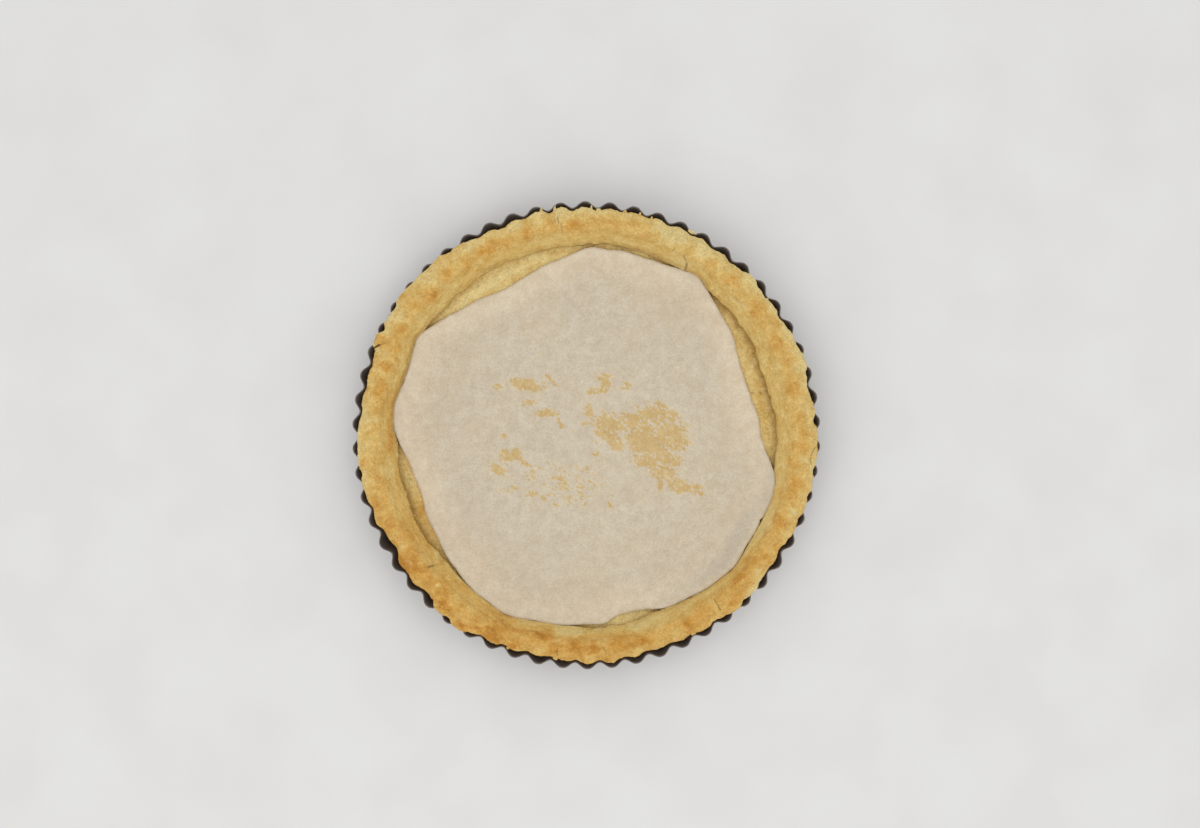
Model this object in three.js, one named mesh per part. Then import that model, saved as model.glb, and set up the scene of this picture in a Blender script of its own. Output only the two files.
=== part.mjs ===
// A blind-baked quiche crust in its fluted tart tin, with the cut sheet of baking paper still on its base.
// Millimetres, +Z up. The origin is under the centre of the tin, on the surface that the tin stands on.
import * as THREE from "three";
import { mergeVertices } from "three/addons/utils/BufferGeometryUtils.js";

// Driving dimensions. Angles are in degrees, counted from +X towards +Y.

const tin = {
  rimRadius: 140, // over the lobes of the flutes
  footRadius: 129, // over the lobes, where the leaning wall meets the base
  height: 30,
  sheet: 0.8,
  footRound: 1.6, // the bend between the base and the wall
  flutes: 58,
  firstLobe: 3.4,
  fluteDepthAtRim: 3.7, // from lobe to valley
  fluteDepthAtFoot: 3,
  lobeBreadth: 1.25, // above 1 the lobes are broader than the valleys
};

const crust = {
  clearance: 0.45, // between the pastry and the tin's wall
  underClearance: 0.3, // between the pastry and the tin's base
  footRound: 3.5, // the rounding of its bottom edge
  edgeRadius: 135.4, // where the pastry has shrunk back from the lobes
  edgeFollow: 1.3, // how much further out its edge still stands at a lobe than at a valley
  edgeFollowMiddle: 0.45, // of the way from lobe to valley, where the edge stands at its mean radius
  edgeSlopeRatio: 0.37, // how fast its outer face leans in, going down
  lapClearance: 0.4, // between the tin's edge and the pastry that laps over it
  lapThickness: 0.3, // of the sharp outer edge there
  lapFill: 6, // the higher, the more of a valley's width a lap fills
  edgeTop: 31.8,
  edgeRound: 1.4, // how far the top of the edge is rounded in
  crestHeight: 33,
  crestOuterInset: 5, // the outer side of the broad browned crest, counted in from the edge
  crestWidth: 8.5,
  crestOverFoot: 6, // how far out from the crease the crest's inner side stands
  crestRound: 2, // the rounding of that inner side
  innerFootRadius: 115.4, // the crease where the wall meets the floor
  bulge: 0.6, // how far the wall stands in over the crease
  bulgeHeight: 4.6, // of that place, over the floor
  floorHeight: 9,
  floorDome: 0.7, // how much higher the puffed floor is at the centre
  filletWidth: 11, // the band beside the crease over which the floor rises
  filletRise: 1.3,
};

const paper = {
  thickness: 0.3,
  lift: 0.5, // above the pastry floor
  wallGap: 1.5, // between the paper's edge and the pastry wall
  cornerRounding: 1.8, // degrees on each side over which a cut corner is rounded off
  climbBand: 7, // beside the wall the paper bends up over this width
  climbHeight: 3.6,
  curlAt: 322, // the side where a wider band of it stands up against the wall
  curlSpread: 20,
  curlBand: 14,
  curlHeight: 6.5,
};

// The corners of the paper as it was cut by hand: angle, distance from the centre.
const paperCorners = [
  [0, 106],
  [15, 102.5],
  [30, 105.5],
  [45, 111.5],
  [55, 118.3],
  [60.5, 116.9],
  [66, 115.5],
  [78, 114.9],
  [90, 115.4],
  [104, 107],
  [120, 102],
  [135, 109],
  [150, 119.4],
  [160, 115.5],
  [172, 119.2],
  [184, 113.4],
  [197, 107],
  [218, 112],
  [233, 117.5],
  [246, 120.3],
  [262, 116.6],
  [276, 115],
  [281, 111],
  [296, 116],
  [318, 120.3],
  [334, 117.6],
  [341, 118.6],
  [348, 119],
];

// Where the whole pastry wall stands further out, or has shrunk back into the tin:
// angle, half width in degrees, millimetres outwards.
const wallSpots = [
  [20, 6, 0.9],
  [47, 8, -0.7],
  [99, 6, 0.6],
  [112, 5, -1.5],
  [139, 9, 2.4],
  [166, 7, -0.7],
  [182, 6, 0.5],
  [209.5, 4, -3.2],
  [226, 3, -1.8],
  [237, 5, 1.4],
  [260, 9, -1.1],
  [272, 4, 0.9],
  [289, 8, -1.2],
  [329, 6, -0.7],
  [347, 5, 1.3],
  [357.5, 3.5, 1.8],
];

// Where the edge of the pastry laps over the edge of the tin: the valley, counted from the one after the
// first lobe, and how far out the pastry reaches there.
const laps = [
  [0, 137.2],
  [2, 138.3],
  [3, 137],
  [6, 136.9],
  [19, 137],
  [20, 138],
  [21, 138.2],
  [22, 138.9],
  [23, 137.9],
  [24, 138.6],
  [28, 136.8],
  [29, 137],
  [30, 136.7],
  [36, 137.5],
  [37, 138.7],
  [49, 137.2],
  [50, 137.2],
  [53, 136.9],
  [54, 137.8],
  [55, 138.3],
  [56, 138.3],
  [57, 138.2],
];

// Seams and splits across the crest, where strips of dough join: angle, half width in degrees, depth.
const seams = [
  [59.3, 1.3, 1],
  [97, 1.2, 0.5],
  [219.1, 1.4, 1.1],
  [308, 1.4, 1.2],
];

// Slow unevenness round the case: waves in one turn, size in millimetres, phase in radians.
const crestWaves = [
  [2, 0.25, 0.6],
  [5, 0.3, 2.1],
  [9, 0.25, 4.4],
  [17, 0.18, 1.2],
];
const innerFootWaves = [
  [3, 0.5, 1],
  [7, 0.45, 3.3],
  [13, 0.35, 0.4],
  [24, 0.2, 2.6],
];

// Where the crease stands further in or out: angle, half width in degrees, millimetres outwards.
const innerFootSpots = [
  [24, 16, -1.5],
  [76, 13, 1.9],
  [122, 14, 0.6],
  [207, 10, 1.5],
  [275, 12, 2.2],
];

// Slow bumps of the pastry floor: wave length, height, the direction in degrees, phase in radians.
const floorWaves = [
  [165, 0.2, 20, 1],
  [120, 0.15, 100, 2.4],
  [75, 0.12, 315, 0.3],
];

// The crust has 4 steps for each flute and the tin has 6, so that both hit every lobe and valley.
const tinSteps = tin.flutes * 6;
const crustSteps = tin.flutes * 4;
const paperSteps = tin.flutes * 2;

const radians = THREE.MathUtils.degToRad;
const { lerp, smoothstep } = THREE.MathUtils;

// 0 on a lobe and 1 in a valley.
function fluteWave(angle) {
  const even = (1 - Math.cos(radians(tin.flutes * (angle - tin.firstLobe)))) / 2;
  return even ** tin.lobeBreadth;
}

function tinOuterRadius(angle, height) {
  const up = height / tin.height;
  const depth = lerp(tin.fluteDepthAtFoot, tin.fluteDepthAtRim, up);
  return lerp(tin.footRadius, tin.rimRadius, up) - depth * fluteWave(angle);
}

function tinInnerRadius(angle, height) {
  return tinOuterRadius(angle, height) - tin.sheet;
}

function waves(list, angle) {
  return list.reduce((sum, [count, size, phase]) => sum + size * Math.sin(count * radians(angle) + phase), 0);
}

// The signed difference between two angles, from -180 to 180.
function turnBetween(from, to) {
  return THREE.MathUtils.euclideanModulo(to - from + 180, 360) - 180;
}

function spot(angle, at, spread) {
  return Math.exp(-((turnBetween(at, angle) / spread) ** 2));
}

function spots(list, angle) {
  return list.reduce((sum, [at, spread, out]) => sum + out * spot(angle, at, spread), 0);
}

function wallEdgeRadius(angle) {
  return crust.edgeRadius + spots(wallSpots, angle);
}

function edgeRadius(angle) {
  const free = wallEdgeRadius(angle) + crust.edgeFollow * (crust.edgeFollowMiddle - fluteWave(angle));
  const valley = THREE.MathUtils.euclideanModulo(angle - tin.firstLobe, 360) / (360 / tin.flutes);
  const lap = laps.find(([at]) => at === Math.floor(valley));
  return lap ? lerp(free, lap[1], 1 - (1 - fluteWave(angle)) ** crust.lapFill) : free;
}

// The distance from the centre to the straight cut between the two corners beside this angle.
function cutRadius(angle) {
  const turn = THREE.MathUtils.euclideanModulo(angle, 360);
  const after = paperCorners.findIndex(([at]) => at > turn);
  const [endAt, endRadius] = paperCorners[after < 0 ? 0 : after];
  const [startAt, startRadius] = paperCorners.at(after < 0 ? -1 : after - 1);
  const toStart = radians(turnBetween(startAt, turn));
  const toEnd = radians(turnBetween(turn, endAt));
  const across = startRadius * endRadius * Math.sin(toStart + toEnd);
  return across / (startRadius * Math.sin(toStart) + endRadius * Math.sin(toEnd));
}

function paperRadius(angle) {
  const samples = [-1, -0.5, 0, 0.5, 1].map((share) => cutRadius(angle + share * paper.cornerRounding));
  return samples.reduce((sum, radius) => sum + radius, 0) / samples.length;
}

// The larger of two radii, with a soft change from one to the other.
function softMax(a, b) {
  return Math.max(a, b) + Math.log1p(Math.exp(-Math.abs(a - b)));
}

// The crease at the foot of the wall. The baking weights pushed the paper's corners against the wall,
// so the crease stands further out there.
function innerFootRadius(angle) {
  const free = crust.innerFootRadius + waves(innerFootWaves, angle) + spots(innerFootSpots, angle);
  return softMax(free, paperRadius(angle) + paper.wallGap);
}

// The pastry floor: slightly domed and uneven, and rising to the crease in a fillet.
function floorHeight(angle, radius) {
  const dome = crust.floorDome * Math.cos((Math.PI / 2) * Math.min(radius / crust.innerFootRadius, 1));
  const uneven = floorWaves.reduce((sum, [length, height, direction, phase]) => {
    const along = radius * Math.cos(radians(angle - direction));
    return sum + height * Math.sin((2 * Math.PI * along) / length + phase);
  }, 0);
  const foot = innerFootRadius(angle);
  const fillet = crust.filletRise * smoothstep(radius, foot - crust.filletWidth, foot);
  return crust.floorHeight + dome + uneven + fillet;
}

// How far the paper stands up off the floor beside the wall.
function paperClimb(angle, radius) {
  const curl = spot(angle, paper.curlAt, paper.curlSpread);
  const band = lerp(paper.climbBand, paper.curlBand, curl);
  const height = lerp(paper.climbHeight, paper.curlHeight, curl);
  const along = Math.max(0, (radius - (innerFootRadius(angle) - band)) / band);
  return height * along ** 2;
}

// Turns a section of the given number of points round the Z axis. place(angle, index) gives each point as
// [radius, height]. The section starts and ends on the axis, and runs from below to above.
function turned(pointCount, steps, place) {
  const blank = Array.from({ length: pointCount }, (_, k) => new THREE.Vector2(1, k));
  const geometry = new THREE.LatheGeometry(blank, steps);
  const position = geometry.getAttribute("position");
  for (let step = 0; step <= steps; step++) {
    const angle = tin.firstLobe + (360 * (step % steps)) / steps;
    for (let k = 0; k < pointCount; k++) {
      const [radius, height] = place(angle, k);
      const x = radius * Math.cos(radians(angle));
      const y = radius * Math.sin(radians(angle));
      position.setXYZ(step * pointCount + k, x, y, height);
    }
  }
  geometry.deleteAttribute("normal");
  geometry.deleteAttribute("uv");
  const merged = mergeVertices(geometry);
  merged.computeVertexNormals();
  return merged;
}

// The tin: one pressed sheet, with a flat base and a leaning fluted wall.
function tinGeometry() {
  const bend = tin.footRound;
  const section = [
    () => [0, 0],
    (angle) => [tinOuterRadius(angle, 0) - bend, 0],
    (angle) => [tinOuterRadius(angle, bend), bend],
    (angle) => [tinOuterRadius(angle, tin.height), tin.height],
    (angle) => [tinInnerRadius(angle, tin.height), tin.height],
    (angle) => [tinInnerRadius(angle, bend + tin.sheet), bend + tin.sheet],
    (angle) => [tinInnerRadius(angle, 0) - bend, tin.sheet],
    () => [0, tin.sheet],
  ];
  return turned(section.length, tinSteps, (angle, k) => section[k](angle));
}

// The outer face of the pastry inside the tin: pressed into the valleys and shrunk back from the lobes.
function crustOuterRadius(angle, height) {
  const shrunk = edgeRadius(angle) - crust.edgeSlopeRatio * (tin.height - height);
  return Math.min(shrunk, tinInnerRadius(angle, height) - crust.clearance);
}

// The pastry case: a thick wall with a broad crest, a crease at its inner foot, and a floor.
function crustGeometry() {
  const under = tin.sheet + crust.underClearance;
  const lapHeight = tin.height + crust.lapClearance;
  const shoulder = tin.height - 8; // below it the outer face stays clear of the tin's edge
  const crestHeight = (angle) => crust.crestHeight + waves(crestWaves, angle) - spots(seams, angle);
  const crestOuter = (angle) => wallEdgeRadius(angle) - crust.crestOuterInset;

  // The inner side of the crest keeps the middle between an even width and the line of the crease.
  const crestInner = (angle) =>
    (crestOuter(angle) - crust.crestWidth + innerFootRadius(angle) + crust.crestOverFoot) / 2;

  // A point of the wall's inner face, at shares of the way out and up from the crease to the crest.
  const innerFace = (angle, out, up) => [
    lerp(innerFootRadius(angle), crestInner(angle), out),
    lerp(crust.floorHeight, crust.crestHeight, up),
  ];
  const onFloor = (angle, radius) => [radius, floorHeight(angle, radius)];

  const section = [
    () => [0, under],
    (angle) => [crustOuterRadius(angle, under) - crust.footRound, under],
    (angle) => [crustOuterRadius(angle, under + crust.footRound), under + crust.footRound],
    (angle) => [crustOuterRadius(angle, shoulder), shoulder],
    (angle) => [crustOuterRadius(angle, tin.height), lapHeight],
    (angle) => [edgeRadius(angle), lapHeight + crust.lapThickness],
    (angle) => [edgeRadius(angle) - crust.edgeRound, crust.edgeTop],
    (angle) => [crestOuter(angle), crestHeight(angle)],
    (angle) => [crestInner(angle) + crust.crestRound, crestHeight(angle) - crust.crestRound / 4],
    (angle) => [crestInner(angle), crestHeight(angle) - crust.crestRound],
    (angle) => innerFace(angle, 0.7, 0.72),
    (angle) => innerFace(angle, 0.25, 0.46),
    (angle) => [innerFootRadius(angle) - crust.bulge, crust.floorHeight + crust.bulgeHeight],
    (angle) => onFloor(angle, innerFootRadius(angle)),
    (angle) => onFloor(angle, innerFootRadius(angle) - crust.filletWidth / 3),
    (angle) => onFloor(angle, innerFootRadius(angle) - (crust.filletWidth * 2) / 3),
    (angle) => onFloor(angle, (innerFootRadius(angle) * 2) / 3),
    () => onFloor(0, 0),
  ];
  return turned(section.length, crustSteps, (angle, k) => section[k](angle));
}

// The baking paper: a thin sheet that follows the floor, with its edge bent up where it meets the wall.
function paperGeometry() {
  const rings = [0, 0.45, 0.75, 0.92, 1];
  const below = (angle, share) => {
    const radius = share * paperRadius(angle);
    return [radius, floorHeight(angle, radius) + paper.lift + paperClimb(angle, radius)];
  };
  const above = (angle, share) => {
    const [radius, height] = below(angle, share);
    return [radius, height + paper.thickness];
  };
  const section = [
    ...rings.map((share) => (angle) => below(angle, share)),
    ...rings.toReversed().map((share) => (angle) => above(angle, share)),
  ];
  return turned(section.length, paperSteps, (angle, k) => section[k](angle));
}

function piece(name, geometry, material) {
  const mesh = new THREE.Mesh(geometry, new THREE.MeshStandardMaterial(material));
  mesh.name = name;
  return mesh;
}

const quicheCrust = new THREE.Group();
quicheCrust.add(
  piece("tin", tinGeometry(), { color: 0x3b3739, roughness: 0.42, metalness: 0.7 }),
  piece("crust", crustGeometry(), { color: 0xd0a565, roughness: 0.8, metalness: 0 }),
  piece("paper", paperGeometry(), { color: 0xcdc0aa, roughness: 0.9, metalness: 0 }),
);

export default quicheCrust;
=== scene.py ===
import itertools
import math

import bpy
import numpy as np
from mathutils import Matrix, Vector, noise


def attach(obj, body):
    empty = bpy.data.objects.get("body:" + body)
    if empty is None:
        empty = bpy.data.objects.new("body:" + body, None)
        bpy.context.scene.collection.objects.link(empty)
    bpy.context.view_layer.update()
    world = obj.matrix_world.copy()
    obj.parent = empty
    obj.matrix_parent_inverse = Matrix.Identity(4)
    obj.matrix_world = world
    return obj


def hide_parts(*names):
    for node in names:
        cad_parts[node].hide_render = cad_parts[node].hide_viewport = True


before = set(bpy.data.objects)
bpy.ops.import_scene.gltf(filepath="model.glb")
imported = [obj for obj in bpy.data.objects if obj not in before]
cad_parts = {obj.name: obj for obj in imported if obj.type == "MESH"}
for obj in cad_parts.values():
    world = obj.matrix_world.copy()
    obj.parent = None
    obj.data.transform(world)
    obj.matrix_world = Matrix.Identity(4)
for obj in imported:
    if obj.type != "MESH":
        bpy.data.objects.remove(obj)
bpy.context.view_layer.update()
mm = 0.001

# All shapes are worked out in millimetres and made in metres. Angles are in degrees from +X towards +Y.
caseRadius = 125.0  # to the middle of the pastry's wall, where turns are measured as lengths


def turnBetween(start, end):
    return (end - start + 180) % 360 - 180


def hump(value, middle, spread):
    # 1 at the middle, and falling off on both sides of it
    return np.exp(-(((value - middle) / spread) ** 2))


def spots(rows, angle):
    # rows of angle, half width in degrees, amount
    return sum(amount * hump(turnBetween(at, angle), 0, spread) for at, spread, amount in rows)


def waves(rows, angle):
    # rows of waves in one turn, size, phase
    return sum(size * np.sin(count * np.radians(angle) + phase) for count, size, phase in rows)


def smooth(value, low, high):
    share = np.clip((value - low) / (high - low), 0, 1)
    return share * share * (3 - 2 * share)


def mixed(a, b, share):
    return a + (b - a) * share


def larger(a, b, softness):
    # the larger of the two, with a soft change from one to the other
    return softness * np.logaddexp(a / softness, b / softness)


def rough(points, size, octaves, seed):
    # lumps of about this size, from about -1 to 1
    shift = Vector((17.3 * seed, 5.1 * seed, 9.7 * seed))
    scaled = (points.reshape(-1, 3) / size).tolist()
    values = [noise.fractal(Vector(p) + shift, 1.0, 2.0, octaves) for p in scaled]
    return np.array(values).reshape(points.shape[:-1])


def around(angle, radius, height):
    angle, radius, height = np.broadcast_arrays(np.radians(angle), radius, height)
    return np.stack([radius * np.cos(angle), radius * np.sin(angle), height], axis=-1)


def streaky(grid, length, width):
    # places for lumps that are drawn out round the case: this long, and this wide by the section's rise,
    # because the mean of the points of a turn lies close to the Z axis
    middle = grid.mean(axis=0)
    profile = np.stack([np.hypot(middle[:, 0], middle[:, 1]), middle[:, 2]], axis=-1)
    steps = np.linalg.norm(np.diff(profile, axis=0), axis=-1)
    across = np.broadcast_to(np.concatenate([[0], np.cumsum(steps)]) / width, grid.shape[:2])
    way = grid[..., :2] / np.maximum(np.hypot(grid[..., 0], grid[..., 1]), 1)[..., None]
    return np.concatenate([way * (caseRadius / length), across[..., None]], axis=-1)


def newPiece(name, verts, faces, marks=None):
    mesh = bpy.data.meshes.new(name)
    mesh.from_pydata((verts * mm).tolist(), [], faces)
    mesh.shade_smooth()
    for mark, values in (marks or {}).items():
        mesh.attributes.new(mark, "FLOAT", "POINT").data.foreach_set("value", values.astype(np.float32))
    piece = bpy.data.objects.new(name, mesh)
    bpy.context.scene.collection.objects.link(piece)
    print(name, len(mesh.polygons), "faces")
    return piece


def turnedPiece(name, grid, marks=None):
    # grid: (turn, place in the section, xyz); the section starts and ends on the Z axis
    turns, places = grid.shape[:2]
    inner = places - 2
    body = grid[:, 1:-1].reshape(-1, 3)
    bottom, top = grid[:, 0].mean(0), grid[:, -1].mean(0)
    verts = np.concatenate([body, [bottom, top]])
    here = np.arange(turns)[:, None] * inner + np.arange(inner)[None, :]
    after = np.roll(here, -1, axis=0)
    quads = np.stack([here[:, :-1], after[:, :-1], after[:, 1:], here[:, 1:]], axis=-1).reshape(-1, 4)
    low = np.stack([np.full(turns, len(body)), after[:, 0], here[:, 0]], axis=-1)
    high = np.stack([np.full(turns, len(body) + 1), here[:, -1], after[:, -1]], axis=-1)
    whole = {}
    for mark, values in (marks or {}).items():
        ends = [values[:, 0].mean(), values[:, -1].mean()]
        whole[mark] = np.concatenate([values[:, 1:-1].reshape(-1), ends])
    return newPiece(name, verts, quads.tolist() + low.tolist() + high.tolist(), whole)


def splineRows(steps):
    # a smooth curve's weights on its control points, with steps[i] points from control i to i + 1
    rows = []
    count = len(steps) + 1
    for i, amount in enumerate(steps):
        for t in np.arange(amount) / amount:
            second = 3 * t**3 - 6 * t**2 + 4
            third = -3 * t**3 + 3 * t**2 + 3 * t + 1
            weights = np.array([(1 - t) ** 3, second, third, t**3]) / 6
            row = np.zeros(count)
            for k, weight in enumerate(weights, i - 1):
                row[min(max(k, 0), count - 1)] += weight
            rows.append(row)
    rows.append(np.eye(count)[-1])
    rows[0] = np.eye(count)[0]
    return np.array(rows)


class Wire:
    # one output of a node, which can be used in sums
    def __init__(self, finish, socket):
        self.finish = finish
        self.socket = socket

    def sum(self, operation, *values):
        return self.finish.node("Math", {"operation": operation}, dict(enumerate(values)))

    def __add__(self, other):
        return self.sum("ADD", self, other)

    def __sub__(self, other):
        return self.sum("SUBTRACT", self, other)

    def __rsub__(self, other):
        return self.sum("SUBTRACT", other, self)

    def __mul__(self, other):
        return self.sum("MULTIPLY", self, other)

    __radd__ = __add__
    __rmul__ = __mul__


class Finish:
    # one material and its nodes
    def __init__(self, name):
        self.material = bpy.data.materials.new(name)
        self.material.use_nodes = True
        self.tree = self.material.node_tree
        self.tree.nodes.clear()
        self.place = self.node("TexCoord", out="Object")

    def node(self, kind, settings=None, values=None, out=0):
        new = self.tree.nodes.new("ShaderNode" + kind)
        for key, value in (settings or {}).items():
            if key == "stops":
                self.setStops(new.color_ramp, value)
            else:
                setattr(new, key, value)
        for key, value in (values or {}).items():
            if isinstance(value, Wire):
                self.tree.links.new(value.socket, new.inputs[key])
            else:
                new.inputs[key].default_value = value
        return Wire(self, new.outputs[out]) if new.outputs else new

    def setStops(self, ramp, stops):
        while len(ramp.elements) < len(stops):
            ramp.elements.new(0.5)
        for element, (position, colour) in zip(ramp.elements, stops):
            element.position = position
            element.color = colour

    def vector(self, operation, values, out="Vector"):
        return self.node("VectorMath", {"operation": operation}, values, out)

    def flat(self, place):
        return self.vector("MULTIPLY", {0: place, 1: (1, 1, 0)})

    def height(self):
        return self.node("SeparateXYZ", None, {0: self.place}, out="Z")

    def mark(self, name):
        return self.node("Attribute", {"attribute_name": name}, out="Fac")

    def lumps(self, size, detail, roughness=0.5, seed=0.0, at=None):
        # cloudy noise with lumps of about this size in millimetres, from about -1 to 1
        moved = self.vector("ADD", {0: at or self.place, 1: (seed, seed * 0.7, seed * 0.3)})
        scale = 1 if at else 1 / (size * mm)
        values = {"Vector": moved, "Scale": scale, "Detail": detail, "Roughness": roughness}
        return (self.node("TexNoise", None, values) - 0.5) * 4

    def alongRim(self, length, width):
        # places for lumps that are drawn out round the case: this long, and this wide across it
        flat = self.flat(self.place)
        way, reach = self.vector("NORMALIZE", {0: flat}), self.vector("LENGTH", {0: flat}, "Value")
        across = (reach - self.height() * 0.8) * (1 / (width * mm))
        far = self.vector("SCALE", {0: way, "Scale": caseRadius / length})
        return self.vector("ADD", {0: far, 1: self.node("CombineXYZ", None, {"Z": across})})

    def lineTo(self, start, end, place):
        # how far a place is from a straight line between two points of the plan, in millimetres
        start, way = np.append(start, 0) * mm, np.append(np.subtract(end, start), 0) * mm
        away = self.vector("SUBTRACT", {0: place, 1: tuple(start)})
        along = self.vector("DOT_PRODUCT", {0: away, 1: tuple(way / (way @ way))}, "Value")
        along = self.node("Clamp", None, {"Value": along})
        near = self.vector("SCALE", {0: tuple(way), "Scale": along})
        return self.vector("LENGTH", {0: self.vector("SUBTRACT", {0: away, 1: near})}, "Value") * (1 / mm)

    def step(self, value, low, high):
        settings = {"interpolation_type": "SMOOTHSTEP"}
        return self.node("MapRange", settings, {"Value": value, "From Min": low, "From Max": high})

    def layers(self, field, levels):
        # a height that rises by one layer where the field passes each of these levels
        soft = 0.05
        return sum(self.step(field, level - soft, level + soft) for level in levels)

    def blend(self, share, first, second):
        return self.node("Mix", {"data_type": "RGBA"}, {0: share, 6: first, 7: second}, out=2)

    def shade(self, colour, share):
        # the colour made lighter or darker by this share
        return self.vector("SCALE", {0: colour, "Scale": 1 + share})

    def bump(self, height, distance, strength, under=None):
        values = {"Height": height, "Distance": distance * mm, "Strength": strength}
        if under:
            values["Normal"] = under
        return self.node("Bump", None, values)

    def surface(self, values):
        shader = self.node("BsdfPrincipled", None, values)
        self.node("OutputMaterial", None, {"Surface": shader})
        return self.material


def tone(red, green, blue):
    # a colour from 0 to 255, as the shader's own colour
    def linear(part):
        part = part / 255
        return part / 12.92 if part < 0.04045 else ((part + 0.055) / 1.055) ** 2.4
    return (linear(red), linear(green), linear(blue), 1.0)


def dress(piece, nodes, material):
    piece.data.materials.append(material)
    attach(piece, "root")
    if nodes:
        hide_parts(*nodes)


# The tin

tinShape = {
    "rimRadius": 140.0,  # over the lobes of the flutes
    "footRadius": 129.0,
    "height": 30.0,
    "sheet": 0.8,
    "footRound": 1.6,
    "flutes": 58,
    "firstLobe": 3.4,
    "depthAtRim": 3.7,  # from lobe to valley
    "depthAtFoot": 3.0,
    "lobeBreadth": 1.25,  # above 1 the lobes are broader than the valleys
    "stepsPerFlute": 16,
}


def fluteWave(angle):
    even = (1 - np.cos(np.radians(tinShape["flutes"] * (angle - tinShape["firstLobe"])))) / 2
    return even ** tinShape["lobeBreadth"]


def tinOuter(angle, height):
    up = height / tinShape["height"]
    depth = mixed(tinShape["depthAtFoot"], tinShape["depthAtRim"], up)
    return mixed(tinShape["footRadius"], tinShape["rimRadius"], up) - depth * fluteWave(angle)


def tinInner(angle, height):
    return tinOuter(angle, height) - tinShape["sheet"]


def makeTin():
    s = tinShape
    turns = s["flutes"] * s["stepsPerFlute"]
    angle = s["firstLobe"] + 360 * np.arange(turns) / turns
    top, sheet, bend = s["height"], s["sheet"], s["footRound"]
    lip = sheet / 2

    def outer(height, inset=0.0):
        return around(angle, tinOuter(angle, height) - inset, height)

    def inner(height, inset=0.0):
        return around(angle, tinInner(angle, height) + inset, height)

    def onBase(share, height):
        return around(angle, (s["footRadius"] - 8) * share, height)

    section = [onBase(0, 0), onBase(0.5, 0), onBase(1, 0)]
    section += [outer(0, bend * 2), outer(0, bend)]
    section += [outer(bend * 0.25, bend * 0.3), outer(bend), outer(bend * 2)]
    section += [outer(height) for height in np.linspace(bend * 3, top - 1, 6)]
    section += [outer(top - lip * 0.6), outer(top - lip * 0.15, lip * 0.4), outer(top, lip)]
    section += [inner(top - lip * 0.15, lip * 0.4), inner(top - lip * 0.6)]
    section += [inner(height) for height in np.linspace(top - 1, bend * 3, 6)]
    section += [inner(bend * 2), inner(bend + sheet, 0.1), inner(bend * 0.5 + sheet, -bend * 0.4)]
    section += [around(angle, tinInner(angle, 0) - away, sheet) for away in (bend, bend * 2)]
    section += [onBase(0.5, sheet), onBase(0, sheet)]
    return turnedPiece("tartTin", np.stack(section, axis=1))


def tinFinish():
    f = Finish("darkTin")
    cloudy, grain = f.lumps(14, 3, 0.6), f.lumps(0.7, 3, 0.6, seed=4.0)
    top = tinShape["height"]
    # the rim's top edge is painted lighter: partly its worn coating, partly a painted highlight
    wornRimAndHighlight = f.step(f.height() + grain * (0.2 * mm), (top - 0.8) * mm, (top - 0.1) * mm)
    colour = f.blend(f.step(cloudy, -1, 1), tone(92, 83, 78), tone(112, 101, 95))
    colour = f.blend(wornRimAndHighlight * 0.3, colour, tone(128, 118, 112))
    relief = f.bump(grain, 0.04, 0.4)
    return f.surface({
        "Base Color": colour,
        "Metallic": 0.15 + wornRimAndHighlight * 0.2,
        "Roughness": 0.45 + cloudy * 0.05 + grain * 0.03,
        "Normal": relief,
    })


# The pastry case

pastryShape = {
    "clearance": 0.45,  # to the tin's wall
    "underside": 1.1,
    "footRound": 3.5,
    "edgeRadius": 135.4,
    "edgeFollow": 1.3,  # how much further out the edge stands at a lobe than at a valley
    "edgeFollowMiddle": 0.45,  # of the way from lobe to valley, where the edge stands at its mean radius
    "lapFill": 6,  # the higher, the more of a valley's width a lap fills
    "edgeLumps": 0.35,  # how uneven the edge is, coarsely and finely
    "edgeCrumbling": 0.4,
    "edgeSlope": 0.37,
    "crestHeight": 33.3,
    "crestInset": 5.0,
    "crestWidth": 8.5,
    "crestOverFoot": 6.0,
    "footRadius": 115.4,  # the crease between wall and floor
    "footLumps": 0.9,
    "footCrumbling": 0.4,
    "bulge": 0.35,  # how far the wall hangs over the crease
    "bulgeHeight": 4.6,
    "floorHeight": 9.0,
    "floorDome": 0.7,
    "filletWidth": 11.0,
    "filletRise": 1.3,
    "stepsPerFlute": 16,
}

# Where the wall leaves its even circle: angle, half width in degrees, millimetres outwards.
wallSpots = [
    (20, 6, 0.9), (47, 8, -0.7), (99, 6, 0.6), (112, 5, -1.5), (139, 9, 2.4), (166, 7, -0.7),
    (182, 6, 0.5), (209.5, 4, -3.2), (226, 3, -1.8), (237, 5, 1.4), (260, 9, -1.1), (272, 4, 0.9),
    (289, 8, -1.2), (329, 6, -0.7), (347, 5, 1.3), (357.5, 3.5, 1.8),
]
filledLobes = [(97, 9, 1.4), (274, 5, 1.0)]  # where the edge follows the flutes more closely

# Where the edge laps over the tin's rim: the valley, counted from the first lobe, and its reach.
laps = {
    0: 137.2, 2: 138.3, 3: 137, 6: 136.9, 19: 137, 20: 138, 21: 138.2, 22: 138.9, 23: 137.9, 24: 138.6,
    28: 136.8, 29: 137, 30: 136.7, 36: 137.5, 37: 138.7, 49: 137.2, 50: 137.2, 53: 136.9, 54: 137.8,
    55: 138.3, 56: 138.3, 57: 138.2,
}

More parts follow.
